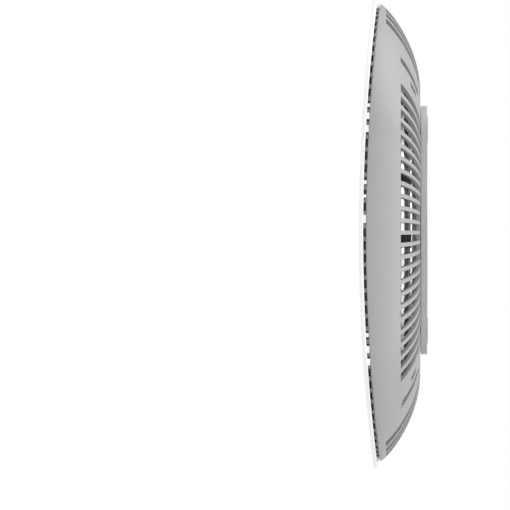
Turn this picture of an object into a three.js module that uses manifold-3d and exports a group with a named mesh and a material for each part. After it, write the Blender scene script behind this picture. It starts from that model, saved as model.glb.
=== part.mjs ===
// Mesh wifi node: a flat, wall-hung radio unit. An arched front cover floats over a curved rear
// shell, with a vented gap between them, and the whole unit turns onto a round wall bracket.
//
// Everything is modelled on the bench, lying on its back, in millimetres: x runs towards the plain
// side, y towards the top edge and z up from the wall plane to the front cover. The last group
// stands the unit up: the cover then faces -X, the top edge +Z and the port side +Y.
import * as THREE from 'three';
import { mergeVertices } from 'three/addons/utils/BufferGeometryUtils.js';
import Module from 'manifold-3d';

const wasm = await Module();
wasm.setup();

// ---- Driving dimensions -------------------------------------------------------------------
const COVER = { half: 100.9, front: 29.3, sagitta: 6.2, thick: 1.8 };
const GAP = 1.4; // clear height of the vented gap between the cover and the shell
const RIM_HALF = 98;
const BACK = { half: 60.6, z: 3.16 }; // flat floor of the shell
const WALL = 1.8;
const CLEAR = 0.3; // between pieces that rest on each other
const CORNER = 0.515; // corner radius of the plan over its half size
const BEND = 1.6; // exponent of the shell's curve from floor to rim

const FOOT = { half: 53.25, middle: 1.05, low: 0.25, high: BACK.z - CLEAR, corner: 12 };
const WELL = { radius: 42.8, lip: 39.4, lipHigh: 1.1 };
const BRACKET = { radius: 38.9, lug: 42.2, high: 2.5, lugLow: 1.4 };
const LUGS = 3;
const LUG_TURN = THREE.MathUtils.degToRad(28);
const LIP_GAP = THREE.MathUtils.degToRad(36);

// Radial slots: how many on a side, the step between two along a side at a half size of reach, the
// share of it that is open, the half size of the plan where they start, and their top on the x and
// on the y sides. The long slot on each corner's diagonal has a width of its own.
const SLOTS = { count: 24, pitch: 5.3, reach: 85.2, open: 0.66, inner: 62.2, sideTop: 11.5,
  endTop: 17.8, cornerWidth: 2.8 };
const SCREW_OUT = 43; // shell screws and foot pads, from the middle, along x and y
// Low wall on the shell's floor that closes the view between floor and rear shield.
const UPSTAND = { half: 59.2, wall: 1.6, high: 6.5 };
const STACK = { // bottom and top of the layers inside
  shield: [6.9, 7.5],
  board: [8.4, 9.9],
  spreader: [10.2, 11.5],
  chassis: [15, 16.6],
};
const BAY = { half: 40, low: 12.2, high: 24.2, floor: -79.2 }; // opening for the ports, on the -x side
const PORT_Y = { dc: -33, power: -20.5, lan1: -4, lan2: 13, pair: 26, reset: 34 };
const PORT_Z = 18.2;
const LIGHT_Y = 60;
const POST_Y = [22.7, -3.9]; // posts and dampers by the plain side

// ---- Materials ----------------------------------------------------------------------------
const finish = (color, roughness, metalness = 0) =>
  new THREE.MeshStandardMaterial({ color, roughness, metalness });
const coverWhite = finish(0xf4f4f4, 0.4);
const shellGrey = finish(0xd4d5d6, 0.45);
const darkPlastic = finish(0x1c1d1f, 0.6);
const footGrey = finish(0xb9babb, 0.55);
const rubber = finish(0x3a3b3c, 0.85);
const steel = finish(0xb8babd, 0.35, 1);
const aluminium = finish(0xd6d8da, 0.4, 1);
const board = finish(0x17191a, 0.55);
const tin = finish(0xc4c5c4, 0.3, 1);
const silicone = finish(0x7d8a94, 0.8);
const clear = finish(0xe8f0f2, 0.2);

// ---- Surfaces -----------------------------------------------------------------------------
// The front of the cover is arched along y only.
const frontZ = (y) => COVER.front - COVER.sagitta * (y / COVER.half) ** 2;
const rimZ = (y) => frontZ(y) - COVER.thick - GAP;

// The plan of the unit, a square with round corners, as points anticlockwise from +x.
function plan(half, { corner = CORNER, arc = 6, side = 4 } = {}) {
  const r = half * corner;
  const straight = half - r;
  const points = [];
  for (let quarter = 0; quarter < 4; quarter++) {
    const turn = (quarter * Math.PI) / 2;
    const local = [];
    for (let i = 0; i < side; i++) local.push([half, -straight + (2 * straight * i) / side]);
    for (let i = 0; i < arc; i++) {
      const a = (i / arc) * (Math.PI / 2);
      local.push([straight + r * Math.cos(a), straight + r * Math.sin(a)]);
    }
    for (const [x, y] of local) {
      points.push([
        x * Math.cos(turn) - y * Math.sin(turn),
        x * Math.sin(turn) + y * Math.cos(turn),
      ]);
    }
  }
  return points;
}

// One ring of the plan, at the height that heightAt gives for each point.
const ring = (half, heightAt, options) => plan(half, options).map(([x, y]) => [x, y, heightAt(y)]);

// A closed body through rings of equal length, from the underside out and over. A loop joins the
// last ring to the first; otherwise both ends close on a point in the middle.
function ringBody(rings, { loop = false } = {}) {
  const n = rings[0].length;
  const position = rings.flat(2);
  const index = [];
  const band = (a, b) => {
    for (let i = 0; i < n; i++) {
      const j = (i + 1) % n;
      index.push(a + i, a + j, b + i, a + j, b + j, b + i);
    }
  };
  for (let k = 0; k + 1 < rings.length; k++) band(k * n, (k + 1) * n);
  if (loop) {
    band((rings.length - 1) * n, 0);
  } else {
    const ends = [rings[0], rings[rings.length - 1]];
    ends.forEach((end, which) => {
      const middle = position.length / 3;
      const height = end.reduce((sum, p) => sum + p[2], 0) / n;
      const peak = Math.max(...end.map((p) => p[2]));
      position.push(0, 0, which ? peak : height);
      const base = which ? (rings.length - 1) * n : 0;
      for (let i = 0; i < n; i++) {
        const j = (i + 1) % n;
        if (which) index.push(base + i, base + j, middle);
        else index.push(base + j, base + i, middle);
      }
    });
  }
  const geometry = new THREE.BufferGeometry();
  geometry.setAttribute('position', new THREE.Float32BufferAttribute(position, 3));
  geometry.setIndex(index);
  return geometry;
}

// A flat outline, drawn in x and y, raised from low to high.
function prism(points, low, high) {
  const shape = new THREE.Shape(points.map(([x, y]) => new THREE.Vector2(x, y)));
  const geometry = new THREE.ExtrudeGeometry(shape, { depth: high - low, bevelEnabled: false });
  return geometry.translate(0, 0, low);
}

const block = ([x0, x1], [y0, y1], [z0, z1]) =>
  new THREE.BoxGeometry(x1 - x0, y1 - y0, z1 - z0)
    .translate((x0 + x1) / 2, (y0 + y1) / 2, (z0 + z1) / 2);

const disc = (radius, low, high, x = 0, y = 0, segments = 24) =>
  new THREE.CylinderGeometry(radius, radius, high - low, segments)
    .rotateX(Math.PI / 2)
    .translate(x, y, (low + high) / 2);

// A round bar along x, from x0 to x1.
const barX = (radius, x0, x1, y, z, segments = 16) =>
  new THREE.CylinderGeometry(radius, radius, x1 - x0, segments)
    .rotateZ(Math.PI / 2)
    .translate((x0 + x1) / 2, y, z);

// ---- Cutting and joining ------------------------------------------------------------------
function solid(geometry) {
  const bare = geometry.clone();
  bare.deleteAttribute('normal');
  bare.deleteAttribute('uv');
  const merged = mergeVertices(bare, 1e-4);
  return new wasm.Manifold(new wasm.Mesh({
    numProp: 3,
    vertProperties: new Float32Array(merged.attributes.position.array),
    triVerts: new Uint32Array(merged.index.array),
  }));
}

function geometryOf(manifold) {
  const { vertProperties, triVerts } = manifold.getMesh();
  const geometry = new THREE.BufferGeometry();
  geometry.setAttribute('position', new THREE.BufferAttribute(vertProperties, 3));
  geometry.setIndex(new THREE.BufferAttribute(triVerts, 1));
  return geometry;
}

function shaped(body, { add = [], cut = [] }) {
  let result = solid(body);
  for (const piece of add) result = result.add(solid(piece));
  for (const piece of cut) result = result.subtract(solid(piece));
  return geometryOf(result);
}

// ---- The unit ------------------------------------------------------------------------------
const unit = new THREE.Group();

function place(name, geometry, material) {
  const mesh = new THREE.Mesh(geometry, material);
  mesh.name = name;
  unit.add(mesh);
  return mesh;
}

// Front cover: an arched plate with rounded edges and, under its overhang, a row of snap tabs.
function frontCover() {
  const edge = 0.5;
  const under = (y) => frontZ(y) - COVER.thick;
  const rings = [0.3, 0.65, 0.93].map((k) => ring(COVER.half * k, under));
  rings.push(ring(COVER.half - edge, under));
  rings.push(ring(COVER.half, (y) => under(y) + edge));
  rings.push(ring(COVER.half, (y) => frontZ(y) - edge));
  rings.push(ring(COVER.half - edge, frontZ));
  for (const k of [0.93, 0.65, 0.3]) rings.push(ring(COVER.half * k, frontZ));
  // Tabs stand in three groups of three along each side, at these places and widths.
  const tabs = [[54.1, 1.4], [49.6, 2.8], [44.1, 3], [21.4, 1.7], [15.5, 1.3], [5.8, 3.5],
    [-43.5, 1.8], [-49.6, 3], [-54.9, 2.8]];
  const add = [];
  for (const [middle, width] of tabs) {
    const top = frontZ(middle) - COVER.thick + 0.4;
    const low = top - GAP + 0.1;
    for (const side of [-1, 1]) {
      const reach = [side * 95.9, side * 97.7].sort((a, b) => a - b);
      add.push(block(reach, [middle - width / 2, middle + width / 2], [low, top]));
    }
  }
  place('front_cover', shaped(ringBody(rings), { add }), coverWhite);
}

// Vent ring: the dark band inside the gap, just behind the tabs.
function ventRing() {
  const low = (y) => rimZ(y) + 0.12;
  const high = (y) => rimZ(y) + GAP - 0.12;
  place('vent_ring', ringBody([
    ring(91, low), ring(95.5, low), ring(95.5, high), ring(91, high),
  ], { loop: true }), darkPlastic);
}

// The shell's curve from the floor to the rim: t runs 0 to 1, and the answer is the half size of
// the plan and the share of the height. It is close to a quarter circle, and fuller at the floor.
function shellCurve(t) {
  const a = (t * Math.PI) / 2;
  return [BACK.half + (RIM_HALF - BACK.half) * Math.sin(a), 1 - Math.cos(a) ** BEND];
}

// The shell's inner skin is the same curve, moved in by the wall along its own normal. The answer
// is the half size, the share of the height and the lift on top of it.
function innerCurve(t) {
  const step = 0.01;
  const [half, w] = shellCurve(t);
  const [ahead, wAhead] = shellCurve(Math.min(1, t + step));
  const [behind, wBehind] = shellCurve(Math.max(0, t - step));
  const along = ahead - behind;
  const up = (wAhead - wBehind) * (rimZ(0) - BACK.z);
  const length = Math.hypot(along, up);
  return [half - (WALL * up) / length, w, (WALL * along) / length];
}

// Where a side of the plan of half size 1 is at this distance along it, from the side's middle.
function sidePoint(along) {
  const straight = 1 - CORNER;
  const past = Math.abs(along) - straight;
  return past <= 0 ? [1, along] : [straight + Math.sqrt(CORNER ** 2 - past ** 2), along];
}

// A wedge that cuts one radial slot of the grille, between two rays from the centre.
function slotWedge(step, top, turn) {
  const rays = [step - SLOTS.open / 2, step + SLOTS.open / 2]
    .map((steps) => sidePoint((steps * SLOTS.pitch) / SLOTS.reach));
  const at = ([x, y], k) => [x * k, y * k];
  const far = RIM_HALF * 1.1;
  const outline = [at(rays[0], SLOTS.inner), at(rays[0], far), at(rays[1], far),
    at(rays[1], SLOTS.inner)];
  return prism(outline, -1, top).rotateZ(turn);
}

function grille() {
  const wedges = [];
  for (let i = 0; i < SLOTS.count; i++) {
    const step = i - (SLOTS.count - 1) / 2;
    wedges.push(slotWedge(step, SLOTS.sideTop, 0));
    wedges.push(slotWedge(step, SLOTS.sideTop, Math.PI));
    wedges.push(slotWedge(step, SLOTS.endTop, Math.PI / 2));
    wedges.push(slotWedge(step, SLOTS.endTop, -Math.PI / 2));
  }
  for (let corner = 0; corner < 4; corner++) {
    const turn = Math.PI / 4 + (corner * Math.PI) / 2;
    const half = SLOTS.cornerWidth / 2;
    wedges.push(block([86, 106], [-half, half], [-1, 11]).rotateZ(turn));
  }
  return wedges;
}

const shellScrews = [[1, 1], [-1, 1], [-1, -1], [1, -1]]
  .map(([x, y]) => [x * SCREW_OUT, y * SCREW_OUT + FOOT.middle]);

function rearShell() {
  const floorIn = BACK.z + WALL;
  const steps = [0.14, 0.3, 0.46, 0.62, 0.78, 0.92, 1];
  const rings = [ring(30, () => BACK.z), ring(BACK.half, () => BACK.z)];
  for (const t of steps) {
    const [half, w] = shellCurve(t);
    rings.push(ring(half, (y) => BACK.z + (rimZ(y) - BACK.z) * w));
  }
  rings.push(ring(RIM_HALF - WALL, rimZ));
  for (const t of steps.slice(0, -1).reverse()) {
    const [half, w, lift] = innerCurve(t);
    rings.push(ring(half, (y) => Math.max(floorIn, BACK.z + (rimZ(y) - BACK.z) * w + lift)));
  }
  rings.push(ring(BACK.half - 1, () => floorIn), ring(30, () => floorIn));
  const cut = grille();
  cut.push(block([-110, BAY.floor + 0.5], [-BAY.half, BAY.half], [BAY.low, BAY.high]));
  for (const [x, y] of shellScrews) cut.push(disc(1.7, 2, 6, x, y, 12));
  const inside = UPSTAND.half - UPSTAND.wall;
  const low = floorIn - 0.4;
  const upstand = ringBody([ring(inside, () => low), ring(UPSTAND.half, () => low),
    ring(UPSTAND.half, () => UPSTAND.high), ring(inside, () => UPSTAND.high)], { loop: true });
  place('rear_shell', shaped(ringBody(rings), { add: [upstand], cut }), shellGrey);
}

// Foot frame: a square pad with a round well. Three lips over the well hold the bracket's lugs.
function footFrame() {
  const outline = plan(FOOT.half, { corner: FOOT.corner / FOOT.half, side: 1, arc: 5 });
  const body = prism(outline.map(([x, y]) => [x, y + FOOT.middle]), FOOT.low, FOOT.high);
  const cut = [
    disc(WELL.radius, WELL.lipHigh, FOOT.high + 1, 0, 0, 48),
    disc(WELL.lip, FOOT.low - 1, WELL.lipHigh + 1, 0, 0, 48),
  ];
  for (let i = 0; i < LUGS; i++) {
    const sector = [[0, 0]];
    for (let k = -2; k <= 2; k++) {
      const a = (k / 4) * LIP_GAP;
      sector.push([WELL.radius * Math.cos(a), WELL.radius * Math.sin(a)]);
    }
    const middle = Math.PI / 2 + (i * 2 * Math.PI) / LUGS + THREE.MathUtils.degToRad(40);
    cut.push(prism(sector, FOOT.low - 1, FOOT.high + 1).rotateZ(middle));
  }
  for (const [x, y] of padPlaces) cut.push(disc(6.5, FOOT.low - 1, 1.6, x, y, 20));
  for (const [x, y] of shellScrews) cut.push(disc(1.7, 0, 4, x, y, 12));
  place('foot_frame', shaped(body, { cut }), footGrey);
}

const padPlaces = shellScrews;

// Foot pads: rubber discs that hide the screws under the foot.
function footPads() {
  padPlaces.forEach(([x, y], i) => {
    const profile = [[0, 0], [5.4, 0], [6, 0.4], [6, 1.0], [0, 1.0]]
      .map(([r, z]) => new THREE.Vector2(r, z));
    const pad = new THREE.LatheGeometry(profile, 20).rotateX(Math.PI / 2);
    place(`foot_pad_${i + 1}`, pad.translate(x, y, 0), rubber);
  });
}

function screw(headRadius, headHigh, shankRadius, length) {
  const profile = [[0, 0], [headRadius * 0.8, 0], [headRadius, headHigh * 0.4],
    [headRadius, headHigh], [shankRadius, headHigh], [shankRadius, length - 1], [0, length]];
  return new THREE.LatheGeometry(profile.map(([r, z]) => new THREE.Vector2(r, z)), 12)
    .rotateX(Math.PI / 2);
}

function screws() {
  shellScrews.forEach(([x, y], i) => {
    place(`shell_screw_${i + 1}`, screw(1.4, 0.8, 1.3, 5).translate(x, y, 1.15), steel);
  });
}

// Wall bracket: a round plate with three lugs and two keyholes for the wall screws.
const KEYHOLES = [[0, 24], [0, -24]];
function wallBracket() {
  const add = [];
  for (let i = 0; i < LUGS; i++) {
    const sector = [[BRACKET.radius * 0.9, 0]];
    for (let k = -2; k <= 2; k++) {
      const a = (k / 4) * LUG_TURN;
      sector.push([BRACKET.lug * Math.cos(a), BRACKET.lug * Math.sin(a)]);
    }
    add.push(prism(sector, BRACKET.lugLow, BRACKET.high)
      .rotateZ(Math.PI / 2 + (i * 2 * Math.PI) / LUGS));
  }
  const cut = [];
  for (const [x, y] of KEYHOLES) {
    cut.push(disc(4.2, -1, 4, x, y - 5, 20));
    cut.push(block([x - 2.1, x + 2.1], [y - 5, y + 3], [-1, 4]));
  }
  place('wall_bracket', shaped(disc(BRACKET.radius, 0, BRACKET.high, 0, 0, 48), { add, cut }), steel);
}

// Layers inside: shield, board and heat spreader, each cut clear of the ports and the posts.
function layer(half, [low, high], cut) {
  const flat = (z) => () => z;
  const options = { side: 1, arc: 5 };
  const rings = [ring(half, flat(low), options), ring(half, flat(high), options)];
  return shaped(ringBody(rings), { cut });
}

function stack() {
  const [low, high] = STACK.spreader;
  const jackSpace = block([-90, -62], [-42, 42], [low - 1, high + 1]);
  place('rear_shield', layer(69.5, STACK.shield, []), tin);
  place('main_pcb', layer(73.5, STACK.board, []), board);
  const crown = block([-44, 44], [-38, 38], [low, 14.6]);
  const inside = block([-42.6, 42.6], [-36.6, 36.6], [low - 1, 13.3]);
  const plate = layer(76, STACK.spreader, []);
  place('heat_spreader', shaped(plate, {
    add: [crown],
    cut: [inside, jackSpace, disc(4, low - 1, high + 1, 0, LIGHT_Y, 16)],
  }), aluminium);
  const onBoard = STACK.board[1] + CLEAR;
  place('soc_can', block([-14, 14], [-14, 14], [onBoard, 12.4]), tin);
  place('radio_can_low', block([-38, -20], [-30, -8], [onBoard, 12.0]), tin);
  place('radio_can_high', block([20, 38], [8, 30], [onBoard, 12.0]), tin);
  place('thermal_pad', block([-12, 12], [-12, 12], [12.6, 13.1]), silicone);
}

// Chassis: a frame over the stack that carries the aerials, with two posts by the plain side.
function chassis() {
  const [low, high] = STACK.chassis;
  const flat = (z) => () => z;
  const options = { side: 1, arc: 5 };
  const frame = ringBody([
    ring(66, flat(low), options), ring(83.5, flat(low), options),
    ring(83.5, flat(high), options), ring(66, flat(high), options),
  ], { loop: true });
  const posts = POST_Y.map((y) => block([76.7, 79.2], [y - 2.6, y + 2.6], [10.6, low + 0.5]));
  const jackSpace = block([-90, -60], [-46, 46], [low - 1, high + 1]);
  place('chassis', shaped(frame, { add: posts, cut: [jackSpace] }), darkPlastic);
}

// Edge dampers: rubber blocks that hold the edges of the board and the shield off the shell.
function edgeDampers() {
  const outline = [[70, 7], [71.4, 7], [72.9, 7.5], [77.2, 9.7], [77.2, 10.1], [73.9, 10.1],
    [73.9, 8.1], [70, 8.1]];
  POST_Y.forEach((y, i) => {
    const damper = prism(outline, -2.6, 2.6).rotateX(Math.PI / 2).translate(0, y, 0);
    place(`edge_damper_${i + 1}`, damper, rubber);
  });
}

// Aerials: bent metal tabs standing on the chassis, two by each open side and one at each end.
function aerials() {
  const foot = STACK.chassis[1] + CLEAR;
  const spots = [[78, 30, 0], [78, -30, 0], [30, 75, 1], [-30, 75, 1], [30, -75, 1], [-30, -75, 1]];
  spots.forEach(([x, y, turned], i) => {
    const outline = [[-13, 0], [13, 0], [13, 1.2], [4, 1.2], [4, 4.4], [13, 4.4], [13, 5.2],
      [-13, 5.2], [-13, 3.2], [-4, 3.2], [-4, 1.2], [-13, 1.2]];
    const tab = prism(outline, -0.3, 0.3).rotateX(Math.PI / 2);
    if (!turned) tab.rotateZ(Math.PI / 2);
    place(`antenna_${i + 1}`, tab.translate(x, y, foot), aluminium);
  });
}

// Light pipe: from the board to just under the cover.
function lightPipe() {
  const top = frontZ(LIGHT_Y) - COVER.thick - 0.6;
  place('light_pipe', disc(2.4, STACK.board[1] + CLEAR, top, 0, LIGHT_Y, 16), clear);
}

// ---- Port side -----------------------------------------------------------------------------
// Port tray: a recessed box behind the opening, slanted to follow the shell.
function portTray() {
  const wall = 1;
  const backPlate = 1.2;
  const along = (points, half) => {
    // The outline is drawn in x and z, and runs along y.
    const body = prism(points, -half, half);
    return body.rotateX(Math.PI / 2);
  };
  const low = BAY.low + CLEAR;
  const high = BAY.high - CLEAR;
  const outer = [[BAY.floor, low], [BAY.floor, high], [-96.2, high], [-88.6, low]];
  const inner = [[BAY.floor - backPlate, low + wall], [BAY.floor - backPlate, high - wall],
    [-99, high - wall], [-99, low + wall]];
  const cut = [along(inner, BAY.half - CLEAR - wall)];
  const behind = [BAY.floor - 2, BAY.floor + 1];
  const window = (y, wide, tall) =>
    block(behind, [y - wide / 2, y + wide / 2], [PORT_Z - tall / 2, PORT_Z + tall / 2]);
  cut.push(window(PORT_Y.lan1, 12.4, 8.6), window(PORT_Y.lan2, 12.4, 8.6));
  cut.push(window(PORT_Y.power, 12.6, 7.6));
  cut.push(barX(4, ...behind, PORT_Y.dc, PORT_Z, 20));
  cut.push(barX(3.1, ...behind, PORT_Y.pair, PORT_Z, 20));
  cut.push(barX(1.1, ...behind, PORT_Y.reset, PORT_Z, 12));
  place('port_tray', shaped(along(outer, BAY.half - CLEAR), { cut }), darkPlastic);
}

function lanJack(name, y) {
  const face = BAY.floor + CLEAR;
  const body = block([face, face + 16], [y - 8, y + 8], [STACK.board[1] + CLEAR, 23.4]);
  const mouth = block([face - 1, face + 12], [y - 5.9, y + 5.9], [PORT_Z - 1.9, PORT_Z + 4]);
  const latch = block([face - 1, face + 12], [y - 3.1, y + 3.1], [PORT_Z - 4, PORT_Z + 1]);
  place(name, shaped(body, { cut: [mouth, latch] }), tin);
}

function dcJack() {
  const y = PORT_Y.dc;
  const face = BAY.floor + CLEAR;
  const body = block([face, face + 14], [y - 4.5, y + 4.5], [STACK.board[1] + CLEAR, 23]);
  const bore = barX(3.2, face - 1, face + 10, y, PORT_Z, 20);
  const pin = barX(1, face + 5.4, face + 11, y, PORT_Z, 10);
  place('dc_jack', geometryOf(
    solid(body).subtract(solid(bore)).add(solid(pin))), darkPlastic);
}

function powerSwitch() {
  const y = PORT_Y.power;
  const front = BAY.floor - 1.5;
  const body = block([front, front + 14], [y - 6, y + 6], [PORT_Z - 3.5, PORT_Z + 3.5]);
  const hollow = block([front - 1, front + 6], [y - 5, y + 5], [PORT_Z - 2.8, PORT_Z + 2.8]);
  place('switch_housing', shaped(body, { cut: [hollow] }), darkPlastic);
  // The rocker is drawn in x and y, in its rest position, and turns about z at its middle.
  const outline = [[front + 4.2, -2.2], [front - 0.2, -4.1], [front + 0.55, 0], [front + 0.9, 4.1],
    [front + 4.2, 2.2]];
  const rocker = prism(outline.map(([x, dy]) => [x, y + dy]), PORT_Z - 2.4, PORT_Z + 2.4);
  place('power_rocker', rocker, darkPlastic);
}

function buttons() {
  const behind = BAY.floor;
  const cap = [[0, 0], [2.3, 0], [2.7, 0.4], [2.7, 2.6], [3.6, 2.6], [3.6, 3.6], [0, 3.6]];
  const turned = (profile, segments) =>
    new THREE.LatheGeometry(profile.map(([r, x]) => new THREE.Vector2(r, x)), segments)
      .rotateZ(-Math.PI / 2);
  place('pair_button', turned(cap, 16).translate(behind - 2.0, PORT_Y.pair, PORT_Z), shellGrey);
  place('reset_button', turned([[0, 0], [0.8, 0], [0.8, 2.2], [2, 2.2], [2, 3.2], [0, 3.2]], 12)
    .translate(behind - 0.6, PORT_Y.reset, PORT_Z), shellGrey);
  const tact = (name, y, x) =>
    place(name, block([x, x + 4], [y - 3, y + 3], [STACK.board[1] + CLEAR, PORT_Z + 3]), darkPlastic);
  tact('pair_tact', PORT_Y.pair, behind + 2.8);
  tact('reset_tact', PORT_Y.reset, behind + 3.4);
}

// Label plate: a plain plate on the shell's floor inside the foot's well.
function labelPlate() {
  place('label_plate', block([-22, 22], [-12, 12], [2.72, 2.98]), shellGrey);
}

frontCover();
ventRing();
rearShell();
footFrame();
footPads();
screws();
wallBracket();
stack();
chassis();
edgeDampers();
aerials();
lightPipe();
portTray();
lanJack('lan_jack_1', PORT_Y.lan1);
lanJack('lan_jack_2', PORT_Y.lan2);
dcJack();
powerSwitch();
buttons();
labelPlate();

// Stand the unit up on its edge, with the cover towards -X and the top edge towards +Z.
const upright = new THREE.Matrix4().makeBasis(
  new THREE.Vector3(0, -1, 0), new THREE.Vector3(0, 0, 1), new THREE.Vector3(-1, 0, 0));
unit.setRotationFromMatrix(upright);

const model = new THREE.Group();
model.add(unit);
export default model;
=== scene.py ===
"""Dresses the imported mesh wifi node: fine moulded surfaces, finishes, light and camera.

Shapes are worked out on the bench, in millimetres, with the unit lying on its back: x runs towards
the plain side, y towards the top edge and z up from the wall plane to the front cover. to_row()
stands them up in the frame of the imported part.
"""

import math

import bmesh
import bpy
import numpy as np
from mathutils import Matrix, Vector


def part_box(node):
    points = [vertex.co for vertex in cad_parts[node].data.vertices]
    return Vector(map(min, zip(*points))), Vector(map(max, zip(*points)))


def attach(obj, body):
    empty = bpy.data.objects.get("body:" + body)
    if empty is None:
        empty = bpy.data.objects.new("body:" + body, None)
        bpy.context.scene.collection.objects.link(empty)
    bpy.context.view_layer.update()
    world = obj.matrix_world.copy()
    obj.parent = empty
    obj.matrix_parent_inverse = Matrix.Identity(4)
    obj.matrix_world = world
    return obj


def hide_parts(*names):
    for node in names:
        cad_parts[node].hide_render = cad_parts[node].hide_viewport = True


bl_info = {
    "name": "Mesh Wifi Node",
    "version": (1, 0, 0),
    "blender": (4, 5, 0),
    "location": "View3D > Sidebar > Wifi Node",
    "description": "Builds the visible surfaces and finishes of a wall-hung mesh wifi node",
    "category": "Add Mesh",
}

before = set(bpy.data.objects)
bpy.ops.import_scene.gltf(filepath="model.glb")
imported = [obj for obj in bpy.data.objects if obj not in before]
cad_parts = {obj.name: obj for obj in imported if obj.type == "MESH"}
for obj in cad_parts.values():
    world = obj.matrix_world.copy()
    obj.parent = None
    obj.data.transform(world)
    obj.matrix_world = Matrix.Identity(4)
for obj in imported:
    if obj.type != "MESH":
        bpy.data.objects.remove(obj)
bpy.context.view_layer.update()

MM = 0.001
HOUSING = "housing"


# ---- The frame, read back on the bench ----


def to_row(points):
    """Bench (x, y, z) in millimetres to row (X, Y, Z) in metres: X = -z, Y = -x, Z = y."""
    p = np.asarray(points, float)
    return np.stack([-p[..., 2], -p[..., 0], p[..., 1]], axis=-1) * MM


def bench_box(node):
    """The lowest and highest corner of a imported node, on the bench, in millimetres."""
    low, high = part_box(node)
    return (
        np.array([-high[1], low[2], -high[0]]) / MM,
        np.array([-low[1], high[2], -low[0]]) / MM,
    )


COVER_HIGH = bench_box("front_cover")[1]
SHELL_LOW, SHELL_HIGH = bench_box("rear_shell")

COVER_HALF = float(COVER_HIGH[1])
FRONT = float(COVER_HIGH[2])
RIM_HALF = float(SHELL_HIGH[1])
FLOOR_Z = float(SHELL_LOW[2])
SAGITTA = 6.2  # how far the cover's arch drops from the middle to its top and bottom edges
COVER_THICK = 1.8
GAP = 1.4  # height of the vented gap between the shell's rim and the cover
FLOOR_HALF = 60.6  # half size of the shell's flat floor
CORNER = 0.515  # corner radius of the plan over its half size
OUTLINE = 4 * (2 * (1 - CORNER) + CORNER * math.pi / 2)  # length round the plan of half size 1
BEND = 1.6  # how soon the shell's curve climbs on its way out to the rim


def front_z(y):
    """Height of the cover's front: a parabola along y, straight along x."""
    return FRONT - SAGITTA * (np.asarray(y) / COVER_HALF) ** 2


def under_z(y):
    """Height of the cover's underside."""
    return front_z(y) - COVER_THICK


def rim_z(y):
    """Height of the shell's rim, which lies a vented gap below the cover's underside."""
    return under_z(y) - GAP


def plan_ray(slope):
    """Where a ray of this slope from the centre meets the +x side of the plan of half size 1.

    The plan is a square with round corners. Up to 1 - CORNER the side is straight, x = 1; past it
    the ray meets the corner's circle, and x is the larger root of the quadratic.
    """
    q = np.abs(np.asarray(slope, float))
    m = 1 - CORNER
    b = m * (1 + q)
    root = np.sqrt(np.maximum(b * b - (1 + q * q) * (2 * m * m - CORNER**2), 0))
    x = np.where(q <= m, 1.0, (b + root) / (1 + q * q))
    return np.stack([x, x * np.asarray(slope, float)], axis=-1)


def plan_at(angles):
    """Points of the plan of half size 1 in the directions of the angles, in radians.

    Each direction is turned back by a whole number of quarters to within 45 degrees of +x, met
    with the +x side, and turned forward again.
    """
    a = np.asarray(angles, float)
    quarter = np.round(a / (math.pi / 2))
    local = plan_ray(np.tan(a - quarter * math.pi / 2))
    c, s = np.cos(quarter * math.pi / 2), np.sin(quarter * math.pi / 2)
    return np.stack([local[:, 0] * c - local[:, 1] * s, local[:, 0] * s + local[:, 1] * c], -1)


def plan_evenly(count, start=0.0):
    """Points of the plan of half size 1 spaced evenly along its outline, with outward normals.

    The outline is four straight runs of 2(1 - CORNER) and four quarter circles; distance d along
    it, from the middle of the +x side, gives the place and the direction.
    """
    straight, arc = 2 * (1 - CORNER), CORNER * math.pi / 2
    d = (start + np.arange(count) * OUTLINE / count) % OUTLINE
    quarter = np.floor((d + straight / 2) / (straight + arc))
    rest = d + straight / 2 - quarter * (straight + arc)
    turn = np.clip((rest - straight) / CORNER, 0, math.pi / 2)
    along = np.minimum(rest, straight) - straight / 2
    m = 1 - CORNER
    on_arc = rest > straight
    x = np.where(on_arc, m + CORNER * np.cos(turn), 1.0)
    y = np.where(on_arc, m + CORNER * np.sin(turn), along)
    c, s = np.cos(quarter * math.pi / 2), np.sin(quarter * math.pi / 2)
    points = np.stack([x * c - y * s, x * s + y * c], -1)
    nx, ny = np.cos(turn), np.sin(turn)
    return points, np.stack([nx * c - ny * s, nx * s + ny * c], -1)


# ---- Meshes ----

SMOOTH_BELOW = 35  # degrees between two faces up to which the edge between them looks smooth


def grid_faces(rows, cols, wrap_rows):
    """Quads between neighbouring points of a grid of rings, stored one after the other."""
    r = np.arange(rows if wrap_rows else rows - 1)
    r, c = [g.ravel() for g in np.meshgrid(r, np.arange(cols), indexing="ij")]
    r2, c2 = (r + 1) % rows, (c + 1) % cols
    return np.stack([r * cols + c, r * cols + c2, r2 * cols + c2, r2 * cols + c], -1)


def piece(name, points, faces, finish, slot, body=HOUSING, replaces=()):
    """Makes one object from points and faces on the bench, and dresses it."""
    mesh = bpy.data.meshes.new(name)
    mesh.from_pydata(to_row(points).tolist(), [], [list(map(int, f)) for f in faces])
    mesh.validate()
    obj = bpy.data.objects.new(name, mesh)
    bpy.context.scene.collection.objects.link(obj)
    return dress(obj, finish, body, replaces)


def shade(obj, sharp=SMOOTH_BELOW):
    """Smooth shading up to the sharp angle, in degrees."""
    obj.data.polygons.foreach_set("use_smooth", np.ones(len(obj.data.polygons), bool))
    obj.data.set_sharp_from_angle(angle=math.radians(sharp))


def dress(obj, finish, body=HOUSING, replaces=()):
    """Gives a finished object its shading, material and body, and hides the nodes it stands for."""
    shade(obj)
    obj.data.materials.clear()
    obj.data.materials.append(finish)
    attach(obj, body)
    if replaces:
        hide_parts(*replaces)
    return obj


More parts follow.
